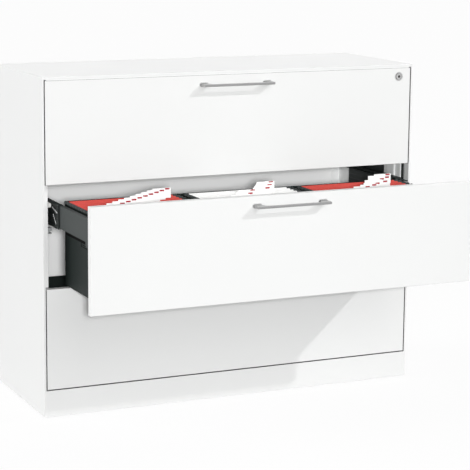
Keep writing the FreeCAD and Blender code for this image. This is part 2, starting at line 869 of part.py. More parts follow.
def handle(drawer, index, opening):
    """Flat bow handle: a bar held off the front by two feet with sloped inner faces."""
    body = new_body(f"{drawer}Handle")
    inner = "handle_reach - handle_bar"
    points = [
        ("0", "0"),
        ("0", "0 - handle_reach"),
        ("handle_length", "0 - handle_reach"),
        ("handle_length", "0"),
        ("handle_length - handle_foot", "0"),
        ("handle_length - handle_foot - handle_slope", f"0 - ({inner})"),
        ("handle_foot + handle_slope", f"0 - ({inner})"),
        ("handle_foot", "0"),
    ]
    sketch = outline(body, f"{drawer}HandleOutline", "XY_Plane", points)
    pad(body, f"{drawer}HandleBow", sketch, "handle_height")
    half_reach = evaluate("handle_reach / 2")
    clear = lambda e: e.BoundBox.YMin < -half_reach
    round_edges(body, f"{drawer}HandleEdges", "handle_edge_radius", clear)
    height = f"{drawer_z(index)} + front_height - handle_drop - handle_height / 2"
    place(body, "0 - handle_length / 2", drawer_y(opening), height)
    keep(body, f"{drawer}_handle")


def drawer_sides(drawer, index, opening):
    """Folded sides with a foot under the floor; the files hang on their upper edges."""
    low, rim = "drawer_floor_rise", "file_rail_rise"
    out, wall = "drawer_side_inset", "side_inner"
    section = [
        (out, low),
        (f"{out} + side_foot", low),
        (f"{out} + side_foot", f"{low} + drawer_sheet"),
        (wall, f"{low} + drawer_sheet"),
        (wall, rim),
        (out, rim),
    ]
    depth = "drawer_depth - drawer_sheet - front_thickness"
    left = extrusion(f"{drawer}LeftSide", "XZ_Plane", section, depth, reverse=True)
    start = f"{drawer_y(opening)} + front_thickness"
    place(left, "0 - half_width", start, drawer_z(index))
    keep(left, f"{drawer}_left_side")
    keep(mirrored(f"{drawer}RightSide", left), f"{drawer}_right_side")


def drawer_back(drawer, index, opening):
    back = box(
        f"{drawer}Back",
        "2 * tray_half",
        "drawer_sheet",
        "rim_rise - drawer_floor_rise",
        "0 - tray_half",
        f"{drawer_y(opening)} + drawer_depth - drawer_sheet",
        f"{drawer_z(index)} + drawer_floor_rise",
    )
    keep(back, f"{drawer}_back")


def drawer_floor(drawer, index, opening):
    floor = box(
        f"{drawer}Floor",
        "2 * tray_half - 2 * drawer_sheet",
        "drawer_depth - drawer_sheet - front_thickness",
        "drawer_sheet",
        "drawer_sheet - tray_half",
        f"{drawer_y(opening)} + front_thickness",
        f"{drawer_z(index)} + drawer_floor_rise + drawer_sheet",
    )
    keep(floor, f"{drawer}_floor")


def file_dividers(drawer, index, opening):
    """Two channels between the lanes; the files hang on their upright edges."""
    sheet, wide = "drawer_sheet", "divider_width"
    section = [
        ("0", "0"),
        (wide, "0"),
        (wide, "divider_height"),
        (f"{wide} - drawer_sheet", "divider_height"),
        (f"{wide} - drawer_sheet", sheet),
        (sheet, sheet),
        (sheet, "divider_height"),
        ("0", "divider_height"),
    ]
    length = "drawer_depth - drawer_sheet - front_thickness"
    left = extrusion(f"{drawer}Divider", "XZ_Plane", section, length, reverse=True)
    x = "0 - divider_middle - divider_width / 2"
    height = f"{drawer_z(index)} + file_rail_rise - divider_height"
    place(left, x, f"{drawer_y(opening)} + front_thickness", height)
    right = mirrored(f"{drawer}DividerRight", left)
    keep(group(f"{drawer}Dividers", [left, right]), f"{drawer}_file_dividers")


def band_section(inset):
    """The band's section, drawn in by inset on every side: an upright box and the shoulder on its inner side."""
    outer, inner = f"band_inset + {inset}", f"band_inner - {inset}"
    low, high = f"band_rise + {inset}", f"band_top - {inset}"
    foot, shoulder = f"shoulder_rise + {inset}", f"shoulder_top - {inset}"
    side = f"drawer_side_inset - {inset}"
    return [
        (outer, low),
        (inner, low),
        (inner, foot),
        (side, foot),
        (side, shoulder),
        (inner, shoulder),
        (inner, high),
        (outer, high),
    ]


def drawer_runners(drawer, index, opening):
    """Closed bands on the drawer's sides that run in the middle runners, with a catch below."""
    body = new_body(f"{drawer}Band")
    low, sheet = "band_rise", "runner_sheet"
    sketch = outline(body, f"{drawer}BandOutline", "XZ_Plane", band_section("0"))
    pad(body, f"{drawer}BandPad", sketch, "band_length", reverse=True)
    hollow = outline(body, f"{drawer}BandHollow", "XZ_Plane", band_section(sheet))
    pocket(body, f"{drawer}BandInside", hollow, "band_length")
    plate = rectangle("catch_setback", "catch_setback + catch_length", f"{low} - catch_height", low)
    lug = outline(body, f"{drawer}LugOutline", "YZ_Plane", plate, f"band_inner - {sheet}")
    pad(body, f"{drawer}Lug", lug, sheet)
    lug_low = evaluate(f"{low} - catch_height")
    corners = lambda e: flat_at(e, "Z", lug_low) and e.BoundBox.YLength < FLAT_TOLERANCE
    radius = f"catch_height * {CATCH_ROUNDING_SHARE}"
    round_edges(body, f"{drawer}LugCorners", radius, corners)
    place(body, "0 - half_width", f"{drawer_y(opening)} + front_thickness", drawer_z(index))
    right = mirrored(f"{drawer}BandRight", body)
    keep(group(f"{drawer}Bands", [body, right]), f"{drawer}_drawer_runners")


# Lock


def lock(index):
    """Housing in the top front, the core that turns in it, and the cam on its end."""
    x, z = "lock_x", f"{drawer_z(index)} + lock_rise"
    proud, bore = "0 - lock_collar_proud", "lock_core_radius + pin_fit"
    housing = turned("LockHousing", "YZ_Plane", [
        (proud, bore),
        (proud, "lock_collar_radius"),
        ("0", "lock_collar_radius"),
        ("0", "lock_barrel_radius"),
        ("front_thickness", "lock_barrel_radius"),
        ("front_thickness", bore),
    ])
    keep(place(housing, x, "front_plane", z), "lock_housing")
    core = turned("LockCore", "YZ_Plane", [
        ("lock_core_recess - lock_collar_proud", "0"),
        ("lock_core_recess - lock_collar_proud", "lock_core_radius"),
        ("core_back", "lock_core_radius"),
        ("core_back", "0"),
    ])
    half_w, half_h = "key_slot_width / 2", "key_slot_height / 2"
    slot = rectangle(f"0 - {half_w}", half_w, f"0 - {half_h}", half_h)
    face = "lock_collar_proud - lock_core_recess"
    sketch = outline(core, "KeySlotOutline", "XZ_Plane", slot, face)
    pocket(core, "KeySlot", sketch, "key_slot_depth")
    keep(place(core, x, "front_plane", z), "lock_core")
    back = FreeCAD.Vector(0, 1, 0)
    disc = cylinder("CamDisc", "cam_radius", "cam_thickness", x, "front_plane + core_back", z, back)
    pin_x, pin_z = f"{x} + throw_side", f"{z} - throw_side"
    length = "bar_front + tab_thickness - cam_back + cam_gap"
    start = "front_plane + cam_back"
    pin = cylinder("CamPin", "cam_pin_radius", length, pin_x, start, pin_z, back)
    keep(join("LockCam", [disc, pin]), "lock_cam")


def lock_bar(index):
    """Upright bar that the cam lifts, with a slotted drive tab and a hook at each drawer."""
    right = "half_width - bar_inset"
    inner = "half_width - bar_inner"
    front = "front_plane + bar_front"
    axis = f"{drawer_z(index)} + lock_rise"
    low = "bottom_top + foot_height"
    pin_z = f"{axis} - throw_side"
    strip = box("BarStrip", "bar_thickness", "bar_width", f"{pin_z} + tab_height / 2 - ({low})",
                inner, front, low)
    tab_start = "lock_x - tab_margin"
    tab = box("BarTab", f"{right} - ({tab_start})", "tab_thickness", "tab_height",
              tab_start, front, f"{pin_z} - tab_height / 2")
    grip = "cam_pin_radius + cam_pin_clearance"
    window = box("BarWindow", f"cam_throw - throw_side + 2 * ({grip})", "tab_thickness",
                 f"2 * ({grip})", f"lock_x + throw_side - ({grip})", front, f"{pin_z} - ({grip})")
    hooks = [
        box(f"BarHook{i}", "hook_reach", "tab_thickness", "hook_height",
            f"{inner} - hook_reach", front, f"{drawer_z(i)} + hook_rise")
        for i, _ in DRAWERS.values()
    ]
    blank = join("BarBlank", [strip, tab] + hooks)
    bar = doc.addObject("Part::Cut", "LockBar")
    bar.Base, bar.Tool = blank, window
    keep(bar, "lock_bar")


# Hanging files


def hanging_file(name, index, opening, lane, number):
    """One file: its pocket, the hooked bar along its top and the tab that names it."""
    middle = f"{lane} * lane_step"
    y = f"{drawer_y(opening)} + file_setback + {number} * file_pitch"
    rim = f"{drawer_z(index)} + file_rail_rise"
    pocket_box = box(name + "Pocket", "file_width", "file_thickness", "file_height",
                     f"{middle} - file_width / 2", y, f"{rim} + file_rise - file_height")
    bar_y = f"{y} + (file_thickness - file_hook_thickness) / 2"
    bar = box(name + "Bar", "file_hook_width", "file_hook_thickness", "file_hook_height",
              f"{middle} - file_hook_width / 2", bar_y, rim)
    if number not in TABBED_FILES:
        return join(name, [pocket_box, bar])
    step = number - TABBED_FILES[0]
    tab_x = f"{middle} - file_width / 2 + file_tab_inset + {step} * file_tab_step"
    tab = box(name + "Tab", "file_tab_width", "file_tab_thickness", "file_tab_height",
              tab_x, y, f"{rim} + file_rise")
    return join(name, [pocket_box, bar, tab])


def hanging_files(drawer, index, opening):
    """Three lanes of files, one behind the other; the outer lanes are red."""
    lanes = {"red": (-1, 1), "white": (0,)}
    for colour, sides in lanes.items():
        files = [
            hanging_file(f"File{colour}{lane + 1}{number}", index, opening, lane, number)
            for lane in sides
            for number in range(FILES_IN_LANE)
        ]
        keep(group(f"Files{colour}", files), f"{drawer}_{colour}_files")


def build():
    make_sheet()
    top_panel()
    side_panels()
    back_panel()
    bottom_panel()
    plinth()
    top_front_rail()
    front_posts()
    rear_posts()
    levelling_feet()
    each_drawer(cabinet_runner, "CabinetRunner", "cabinet_runners")
    both_sides(runner_bumper, "RunnerBumper", "runner_bumpers")
    both_sides(runner_bracket, "RunnerBracket", "runner_brackets")
    both_sides(roller_pin, "RollerPin", "roller_pins")
    both_sides(slide_pad, "SlidePad", "slide_pads")
    for drawer, (index, opening) in DRAWERS.items():
        front_rollers(drawer, index)
        middle_runners(drawer, index, opening)
        front_panel(drawer, index, opening)
        front_liner(drawer, index, opening)
        handle(drawer, index, opening)
        drawer_sides(drawer, index, opening)
        drawer_back(drawer, index, opening)
        drawer_floor(drawer, index, opening)
        file_dividers(drawer, index, opening)
        drawer_runners(drawer, index, opening)
    lock(DRAWERS["top"][0])
    lock_bar(DRAWERS["top"][0])
    hanging_files("middle", *DRAWERS["middle"])
    doc.recompute()


def check():
    """Stop if anything in the document failed, or a piece isn't a sound solid."""
    failed = [o.Name for o in doc.Objects if {"Invalid", "Error"} & set(o.State)]
    if failed:
        raise RuntimeError("failed: " + ", ".join(failed))
    for node in nodes:
        shape = node.Shape
        if shape.isNull() or not shape.isValid() or not shape.Solids:
            raise RuntimeError(f"{node.Label} is not a sound solid")


def export():
    os.makedirs("parts", exist_ok=True)
    for node in nodes:
        node.Shape.exportStep(os.path.join("parts", node.Label + ".step"))
        size = node.Shape.BoundBox
        print(f"{node.Label}: {len(node.Shape.Solids)} solid(s),",
              f"{size.XLength:.1f} x {size.YLength:.1f} x {size.ZLength:.1f} mm")
    print(len(nodes), "nodes")


build()
check()
export()
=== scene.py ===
# %% [markdown]
# # A white filing cabinet with its middle drawer open
#
# The solids of the cabinet are already made, in metres. This lesson gives them their looks. It sets
# up the camera and the light, paints every solid with a finish built from nodes, and makes the
# pieces that a plain solid can't show well, such as the hanging files in the open drawer. All
# lengths are in metres.
#
# We load the solids first.

# %% Load the solids
import math
import random

import bmesh
import bpy
from mathutils import Matrix, Vector


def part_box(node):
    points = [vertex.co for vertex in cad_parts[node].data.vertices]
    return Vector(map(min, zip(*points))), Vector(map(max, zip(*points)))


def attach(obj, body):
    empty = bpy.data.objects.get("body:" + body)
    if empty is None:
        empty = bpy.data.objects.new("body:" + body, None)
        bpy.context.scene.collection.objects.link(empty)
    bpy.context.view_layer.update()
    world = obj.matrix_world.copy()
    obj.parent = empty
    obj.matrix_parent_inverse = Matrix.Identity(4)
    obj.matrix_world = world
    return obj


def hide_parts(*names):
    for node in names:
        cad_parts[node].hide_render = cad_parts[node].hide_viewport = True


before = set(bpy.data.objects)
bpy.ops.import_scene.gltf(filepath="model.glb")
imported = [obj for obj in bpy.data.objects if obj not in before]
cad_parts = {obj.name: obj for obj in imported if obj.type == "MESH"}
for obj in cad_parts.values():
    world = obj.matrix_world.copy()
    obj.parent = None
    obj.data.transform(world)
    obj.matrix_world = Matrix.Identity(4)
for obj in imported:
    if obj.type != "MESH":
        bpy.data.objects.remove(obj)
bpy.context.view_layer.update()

# %% [markdown]
# ## The camera
#
# The view is from the front left, a little above the top panel. The upright edges stay almost
# parallel, which a photographer gets by keeping the camera nearly level and shifting the lens. We
# do the same with a small shift. A camera looks along its own minus Z, so the three columns of its
# matrix are right, up and backwards.

# %% Camera
FRAME_PIXELS = 470
SENSOR_MM = 36
EYE = Vector((-2.1503, -4.6290, 1.4739))
YAW, PITCH, ROLL = 0.4201, 0.1733, 0.0066        # in radians
FOCAL_PIXELS = 1732.3
SHIFT_PIXELS = 28

ahead = Vector((
    math.sin(YAW) * math.cos(PITCH),
    math.cos(YAW) * math.cos(PITCH),
    -math.sin(PITCH),
))
level = Vector((math.cos(YAW), -math.sin(YAW), 0))
above = level.cross(ahead)
right = math.cos(ROLL) * level + math.sin(ROLL) * above
up = math.cos(ROLL) * above - math.sin(ROLL) * level

camera_data = bpy.data.cameras.new("camera")
camera_data.sensor_width = SENSOR_MM
camera_data.lens = FOCAL_PIXELS / FRAME_PIXELS * SENSOR_MM
camera_data.shift_x = SHIFT_PIXELS / FRAME_PIXELS
camera_data.shift_y = -SHIFT_PIXELS / FRAME_PIXELS
camera = bpy.data.objects.new("camera", camera_data)
camera.matrix_world = Matrix.Translation(EYE) @ Matrix((right, up, -ahead)).transposed().to_4x4()
bpy.context.scene.collection.objects.link(camera)
bpy.context.scene.camera = camera
print("lens:", round(camera_data.lens, 1), "mm")

# %% [markdown]
# ## The light
#
# White paint shows its form only through soft shade. A key light from the upper right throws the
# open drawer's shadow onto the drawer below. A lamp close to the camera reaches deep into the open
# cabinet, and its own shadows hide behind what throws them. Softer lamps lift the side, the top
# and the back, and a dim world lights the rest. Together they are kept just below one on the white
# fronts, so that no white clips and a colour shows about as we write it. The Standard view keeps
# it so: it shows the light as it is, with no film curve.

# %% Lamp helpers
bpy.context.scene.view_settings.view_transform = "Standard"


def aimed_lamp(name, data, travel):
    """A lamp in the scene, whose light travels along the given vector."""
    lamp = bpy.data.objects.new(name, data)
    lamp.rotation_euler = travel.to_track_quat("-Z", "Y").to_euler()
    bpy.context.scene.collection.objects.link(lamp)
    return lamp


def sunlight(name, travel, strength, softness):
    """A distant lamp. Softness is its apparent size in radians."""
    data = bpy.data.lights.new(name, "SUN")
    data.energy = strength
    data.angle = softness
    return aimed_lamp(name, data, Vector(travel))


def spotlight(name, stand, target, power, spread, size):
    """A lamp at a place, aimed at a target. Its light doesn't fade with distance."""
    data = bpy.data.lights.new(name, "SPOT")
    data.energy = power
    data.spot_size = spread
    data.spot_blend = 1.0
    data.shadow_soft_size = size
    data.use_nodes = True
    tree = data.node_tree
    falloff = tree.nodes.new("ShaderNodeLightFalloff")
    falloff.inputs["Strength"].default_value = 1.0
    tree.links.new(falloff.outputs["Constant"], tree.nodes["Emission"].inputs["Strength"])
    lamp = aimed_lamp(name, data, target - stand)
    lamp.location = stand
    return lamp


print("lamp helpers ready")

# %% Lamps
FRONT_LAMP_ASIDE = 0.14
FRONT_LAMP_BEHIND = 0.3
FRONT_LAMP_TARGET = Vector((2.5, 0, 0.5))
FRONT_LAMP_SPREAD = math.radians(125)

front_lamp_place = EYE + FRONT_LAMP_ASIDE * right - FRONT_LAMP_BEHIND * ahead
lamps = (
    sunlight("key_light", travel=(-0.60, 0.55, -0.555), strength=1.0, softness=0.03),
    sunlight("side_light", travel=(1.0, -0.40, -0.25), strength=2.85, softness=0.8),
    sunlight("top_light", travel=(0.0, 0.87, -0.5), strength=0.65, softness=0.6),
    sunlight("back_light", travel=(-0.5, -1.0, -0.25), strength=0.7, softness=1.0),
    spotlight("front_light", front_lamp_place, FRONT_LAMP_TARGET,
              power=30, spread=FRONT_LAMP_SPREAD, size=0.2),
)
print("lamps:", [lamp.name for lamp in lamps])


# %% [markdown]
# ## A short way to write nodes
#
# A finish is a graph of nodes. One helper adds a node and fills its sockets at once: a plain value
# is set, and another node's output is linked. The graphs below then read from top to bottom, like
# a recipe.

# %% Node helpers
def add(tree, kind, sockets=None, **settings):
    """Adds a shader node. Sockets maps an input's name or number to a value or to an output."""
    node = tree.nodes.new("ShaderNode" + kind)
    for name, value in settings.items():
        setattr(node, name, value)
    for name, value in (sockets or {}).items():
        if isinstance(value, bpy.types.NodeSocket):
            tree.links.new(value, node.inputs[name])
        else:
            node.inputs[name].default_value = value
    return node


def calculate(tree, operation, *values):
    """The output of one Math node."""
    return add(tree, "Math", dict(enumerate(values)), operation=operation).outputs[0]


def mixed_colour(tree, mask, first, second):
    """The first colour where the mask is zero, the second where it is one."""
    return add(tree, "Mix", {0: mask, 6: first, 7: second}, data_type="RGBA").outputs[2]


def light_path_flag(tree):
    """One for the rays that see the backdrop: from the camera, off gloss, and through glass."""
    path = add(tree, "LightPath").outputs
    seen = calculate(tree, "ADD", path["Is Camera Ray"], path["Is Glossy Ray"])
    sockets = {0: seen, 1: path["Is Transmission Ray"]}
    return add(tree, "Math", sockets, operation="ADD", use_clamp=True).outputs[0]


def blank_material(title):
    """A material with an empty node tree."""
    material = bpy.data.materials.new(title)
    material.use_nodes = True
    material.node_tree.nodes.clear()
    return material


print("node helpers ready")

# %% [markdown]
# ## World and floor
#
# The background is white. The world is white only where it is looked at, and dim where it lights
# the object. The floor is treated in the same way. To the camera it is mostly its own white with a
# share of real shading, so the object's shadow stays on it. To the object it is a plain grey floor
# that throws some light back up.

# %% World
WHITE = (1, 1, 1, 1)
WORLD_LIGHT = 0.05

world = bpy.data.worlds.new("pale_room")
world.use_nodes = True
bpy.context.scene.world = world
sky = world.node_tree
sky.nodes.clear()
strength = calculate(sky, "MULTIPLY_ADD", light_path_flag(sky), 1 - WORLD_LIGHT, WORLD_LIGHT)
background = add(sky, "Background", {"Color": WHITE, "Strength": strength})
add(sky, "OutputWorld", {"Surface": background.outputs[0]})
print("world light:", WORLD_LIGHT)

# %% Floor
FLOOR_REACH = 60
FLOOR_HEIGHT = -0.0005
FLOOR_GREY = (0.42, 0.42, 0.42, 1)
FLOOR_OWN_WHITE = 0.93

floor_corners = [
    (x * FLOOR_REACH, y * FLOOR_REACH, FLOOR_HEIGHT)
    for x, y in ((-1, -1), (1, -1), (1, 1), (-1, 1))
]
floor_mesh = bpy.data.meshes.new("floor")
floor_mesh.from_pydata(floor_corners, [], [(0, 1, 2, 3)])
floor = bpy.data.objects.new("floor", floor_mesh)
bpy.context.scene.collection.objects.link(floor)

floor_paint = blank_material("pale_floor")
tree = floor_paint.node_tree
room_floor = add(tree, "BsdfDiffuse", {"Color": FLOOR_GREY}).outputs[0]
shaded = add(tree, "BsdfDiffuse", {"Color": WHITE}).outputs[0]
own_white = add(tree, "Emission", {"Color": WHITE, "Strength": 1.0}).outputs[0]
seen_floor = add(tree, "MixShader", {0: FLOOR_OWN_WHITE, 1: shaded, 2: own_white}).outputs[0]
either = add(tree, "MixShader", {0: light_path_flag(tree), 1: room_floor, 2: seen_floor})
add(tree, "OutputMaterial", {"Surface": either.outputs[0]})
floor_mesh.materials.append(floor_paint)
print("floor:", floor.name)


# %% [markdown]
# ## Finishes that several pieces share
#
# Powder paint, drawn metal, rubbed slide lines and pressed card each become a node group, built
# once. A group gives only colours and numbers that change over the surface. The shader itself
# stays in each material, with its own values.
#
# All of them read Object coordinates. A solid's object sits at the origin, so these are plain
# metres, and they move with the piece when a drawer slides.

# %% Group helpers
def shader_group(title, inputs):
    """A node group with named sockets. Inputs maps an input's name to its first value."""
    tree = bpy.data.node_groups.new(title, "ShaderNodeTree")
    for name, value in inputs.items():
        kind = "NodeSocketColor" if isinstance(value, tuple) else "NodeSocketFloat"
        socket = tree.interface.new_socket(name=name, in_out="INPUT", socket_type=kind)
        socket.default_value = value
    for name, kind in (("Colour", "Color"), ("Roughness", "Float"), ("Height", "Float")):
        tree.interface.new_socket(name=name, in_out="OUTPUT", socket_type="NodeSocket" + kind)
    return tree, tree.nodes.new("NodeGroupInput").outputs, tree.nodes.new("NodeGroupOutput")


def finish_group(tree, end, **values):
    """Links each value to the group output of that name."""
    for name, value in values.items():
        tree.links.new(value, end.inputs[name])
    print("group:", tree.name, "sockets:", len(tree.interface.items_tree))


def place(tree, stretch=(1, 1, 1)):
    """Object coordinates, stretched by a factor along each axis."""
    coordinates = add(tree, "TexCoord").outputs["Object"]
    return add(tree, "Mapping", {"Vector": coordinates, "Scale": stretch}).outputs[0]


def noise(tree, where, scale, detail):
    """Noise between zero and one, read at the given coordinates."""
    return add(tree, "TexNoise", {"Vector": where, "Scale": scale, "Detail": detail}).outputs[0]


def unevenness(tree, fine, broad, fine_share):
    """Two noises mixed, and moved down so that they lie about zero."""
    rest = calculate(tree, "MULTIPLY", broad, 1 - fine_share)
    both = calculate(tree, "MULTIPLY_ADD", fine, fine_share, rest)
    return calculate(tree, "SUBTRACT", both, 0.5)


def varied(tree, colour, change, amount):
    """The colour, lighter and darker by the change times the amount."""
    value = calculate(tree, "MULTIPLY_ADD", change, amount, 1.0)
    return add(tree, "HueSaturation", {"Color": colour, "Value": value}).outputs[0]


print("group helpers ready")

# %% [markdown]
# Powder paint melts into a skin with a fine orange peel and very faint clouds. A fine noise gives
# the peel and a broad one the clouds.

# %% Powder paint
tree, given, end = shader_group("powder_paint", {
    "Paint": (0.8, 0.8, 0.8, 1),
    "Cloud": 0.03,
    "Grain per metre": 900.0,
    "Roughness": 0.4,
    "Spread": 0.1,
})
where = place(tree)
cloud = noise(tree, where, scale=4.0, detail=4.0)
grain = noise(tree, where, scale=given["Grain per metre"], detail=2.0)
change = unevenness(tree, grain, cloud, fine_share=0.4)
colour = varied(tree, given["Paint"], change, given["Cloud"])
rough = calculate(tree, "MULTIPLY_ADD", change, given["Spread"], given["Roughness"])
finish_group(tree, end, Colour=colour, Roughness=rough, Height=grain)

# %% [markdown]
# The handles are drawn rod, with streaks along the cabinet's width. A noise that is squeezed in
# the other two directions gives such streaks.

# %% Drawn metal
tree, given, end = shader_group("drawn_metal", {
    "Metal": (0.5, 0.5, 0.5, 1),
    "Streaks": 0.3,
    "Roughness": 0.35,
    "Spread": 0.2,
})
fine = noise(tree, place(tree, (6, 900, 900)), scale=1.0, detail=3.0)
broad = noise(tree, place(tree, (3, 90, 90)), scale=1.0, detail=2.0)
change = unevenness(tree, fine, broad, fine_share=0.6)
colour = varied(tree, given["Metal"], change, given["Streaks"])
rough = calculate(tree, "MULTIPLY_ADD", change, given["Spread"], given["Roughness"])
finish_group(tree, end, Colour=colour, Roughness=rough, Height=fine)

# %% [markdown]
# Where one runner slides along another, the paint wears to bright, smoother lines. The lines run
# the way that the drawer moves, and a patchy mask breaks them up.

# %% Rubbed slide lines
SMOOTHER_WHERE_RUBBED = -0.25

tree, given, end = shader_group("slide_lines", {
    "Metal": (0.4, 0.4, 0.4, 1),
    "Rubbed": (0.7, 0.7, 0.7, 1),
    "Amount": 0.5,
    "Roughness": 0.45,
})
lines = noise(tree, place(tree, (260, 2.5, 260)), scale=1.0, detail=3.0)
patch = noise(tree, place(tree), scale=14.0, detail=3.0)
worn = add(tree, "MapRange", {"Value": lines, "From Min": 0.5, "From Max": 0.68}).outputs[0]
mask = calculate(tree, "MULTIPLY", calculate(tree, "MULTIPLY", worn, patch), given["Amount"])
colour = mixed_colour(tree, mask, given["Metal"], given["Rubbed"])
rough = calculate(tree, "MULTIPLY_ADD", mask, SMOOTHER_WHERE_RUBBED, given["Roughness"])
finish_group(tree, end, Colour=colour, Roughness=rough, Height=lines)

# %% [markdown]
# The card of the files is pressed from short fibres. Its flecks are a very fine noise, stretched
# upwards, over soft clouds.

# %% Pressed card
CARD_ROUGHNESS_SPREAD = 0.15

tree, given, end = shader_group("pressed_card", {
    "Card": (0.6, 0.1, 0.08, 1),
    "Fleck": 0.12,
    "Roughness": 0.75,
})
fibre = noise(tree, place(tree, (1, 1, 0.4)), scale=1400.0, detail=4.0)
cloud = noise(tree, place(tree), scale=22.0, detail=3.0)
change = unevenness(tree, fibre, cloud, fine_share=0.5)
colour = varied(tree, given["Card"], change, given["Fleck"])
rough = calculate(tree, "MULTIPLY_ADD", change, CARD_ROUGHNESS_SPREAD, given["Roughness"])
finish_group(tree, end, Colour=colour, Roughness=rough, Height=fibre)

# %% [markdown]
# ## One material for each finish
#
# The recipe is the same each time: a group for the surface, a bump that lifts its grain by a few
# hundredths of a millimetre, and a shader with its own plain values. Where a finish asks for it,
# its colour is darkened in narrow gaps: painted shade, for the shade that falls there.

# %% Material recipe
BUMP_STRENGTH = 0.6
# The painted gap shade: how far it reaches, how strongly it darkens, and with how many rays.
GAP_REACH = 0.005
GAP_DEPTH = 2.0
GAP_SAMPLES = 8
BLACK = (0, 0, 0, 1)


def paint_gap_shade(tree, colour):
    """The colour with painted shade: darker where something stands close in front of it."""
    open_air = add(tree, "AmbientOcclusion", {"Distance": GAP_REACH}, samples=GAP_SAMPLES)
    shade = calculate(tree, "POWER", open_air.outputs["AO"], GAP_DEPTH)
    return mixed_colour(tree, shade, BLACK, colour)


def finish(title, group, values, grain_height, shader, gaps=False):
    """A material from one group. Shader gives the plain values of the shader's own sockets."""
    material = blank_material(title)
    tree = material.node_tree
    surface = add(tree, "Group", values, node_tree=bpy.data.node_groups[group]).outputs
    bump = add(tree, "Bump", {
        "Height": surface["Height"], "Distance": grain_height, "Strength": BUMP_STRENGTH,
    })
    colour = paint_gap_shade(tree, surface["Colour"]) if gaps else surface["Colour"]
    principled = add(tree, "BsdfPrincipled", {
        "Base Color": colour,
        "Roughness": surface["Roughness"],
        "Normal": bump.outputs[0],
        **shader,
    })
    add(tree, "OutputMaterial", {"Surface": principled.outputs[0]})
    return material


def tint_where(material, mask, colour):
    """Gives the material another colour where the mask, an output in its tree, is one."""
    tree = material.node_tree
    shader = next(node for node in tree.nodes if node.type == "BSDF_PRINCIPLED")
    own = shader.inputs["Base Color"].links[0].from_socket
    tinted = mixed_colour(tree, mask, own, (*colour, 1))
    tree.links.new(tinted, shader.inputs["Base Color"])


print("material recipe ready")

# %% [markdown]
# Four short recipes fill in what paint, bare metal, a sliding runner and card have in common. Red
# card would tint the white card beside it more than the real files do, so a card may throw light
# of another colour than it shows.

# %% Recipes for the four kinds
PAINT_GRAIN = 0.00004
MOULDED_GRAIN = 0.00008
METAL_GRAIN = 0.00002
SLIDE_GRAIN = 0.00003
CARD_GRAIN = 0.00005


def painted(title, colour, roughness, cloud=0.04, grain=PAINT_GRAIN, gloss=0.5, gaps=False):
    """A powder painted or moulded finish."""
    values = {"Paint": (*colour, 1), "Cloud": cloud, "Roughness": roughness}
    shader = {"Metallic": 0.0, "Specular IOR Level": gloss}
    return finish(title, "powder_paint", values, grain, shader, gaps)


def metal(title, colour, roughness, streaks=0.3, gaps=False):
    """A bare metal finish, drawn along the cabinet's width."""
    values = {"Metal": (*colour, 1), "Streaks": streaks, "Roughness": roughness}
    return finish(title, "drawn_metal", values, METAL_GRAIN, {"Metallic": 1.0}, gaps)


def sliding(title, colour, rubbed, amount, roughness, gloss):
    """Paint with bright lines where another runner has rubbed along it."""
    values = {
        "Metal": (*colour, 1), "Rubbed": (*rubbed, 1), "Amount": amount, "Roughness": roughness,
    }
    shader = {"Metallic": 0.0, "Specular IOR Level": gloss}
    return finish(title, "slide_lines", values, SLIDE_GRAIN, shader)


def card(title, colour, fleck=0.12, thrown=None):
    """Matt card. Thrown is the colour that it throws on its neighbours, where that differs."""
    values = {"Card": (*colour, 1), "Fleck": fleck}
    material = finish(title, "pressed_card", values, CARD_GRAIN, {"Metallic": 0.0})
    if thrown:
        lighting = add(material.node_tree, "LightPath").outputs["Is Diffuse Ray"]
        tint_where(material, lighting, thrown)
    return material


print("recipes ready")

# %% [markdown]
# The names are those of the record's material slots. Blender adds a number to a name that is
# already taken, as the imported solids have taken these, so we look materials up by the plain name.

# %% Finishes
ENAMEL = (0.78, 0.785, 0.78)


def plain_name(material):
    """The material's name without the number that Blender may have added."""
    return material.name.split(".")[0]


made_finishes = (
    painted("white_enamel", ENAMEL, roughness=0.36, cloud=0.02, gaps=True),
    painted("post_steel", (0.86, 0.87, 0.865), roughness=0.4),
    # Painted shade: the tray's steel is set darker than the band's, for the shade that the band
    # throws on the drawer's side below it.
    painted("tray_steel", (0.009, 0.013, 0.012), roughness=0.5, gloss=0.09),
    painted("band_steel", (0.048, 0.054, 0.053), roughness=0.55, gloss=0.12),
    sliding("runner_steel", (0.018, 0.022, 0.021), rubbed=(0.3, 0.32, 0.32), amount=0.25,
            roughness=0.45, gloss=0.12),
    painted("bracket_steel", (0.86, 0.87, 0.86), roughness=0.4),
    metal("handle_steel", (0.36, 0.36, 0.36), roughness=0.3),
    painted("roller_plastic", (0.86, 0.86, 0.84), roughness=0.3),
    painted("bumper_plastic", (0.25, 0.26, 0.26), roughness=0.6, grain=MOULDED_GRAIN),
    painted("foot_plastic", (0.02, 0.02, 0.021), roughness=0.6, grain=MOULDED_GRAIN),
    metal("pin_steel", (0.55, 0.55, 0.56), roughness=0.3),
    metal("lock_chrome", (0.5, 0.5, 0.5), roughness=0.22, streaks=0.15, gaps=True),
    card("red_card", (0.62, 0.066, 0.052), thrown=(0.2, 0.14, 0.14)),
    card("white_card", (0.92, 0.92, 0.91), fleck=0.05),
)
finishes = {plain_name(material): material for material in made_finishes}
print("finishes:", len(finishes))

# %% [markdown]
# A few solids differ from others with the same finish. The back panel is a brighter white: painted
# light, which lifts the shaded wall at the back of the open cabinet. The top panel gets no painted
# gap shade. The lock core has a brighter chrome. The rear part of each side's inner face is dark,
# and its material finds that face by its distance from the middle of the cabinet.

# %% Solids with a finish of their own
SIDE_INNER_FACE = 0.599
FACE_BAND = 0.0004
DARK_TINT_START = 0.14


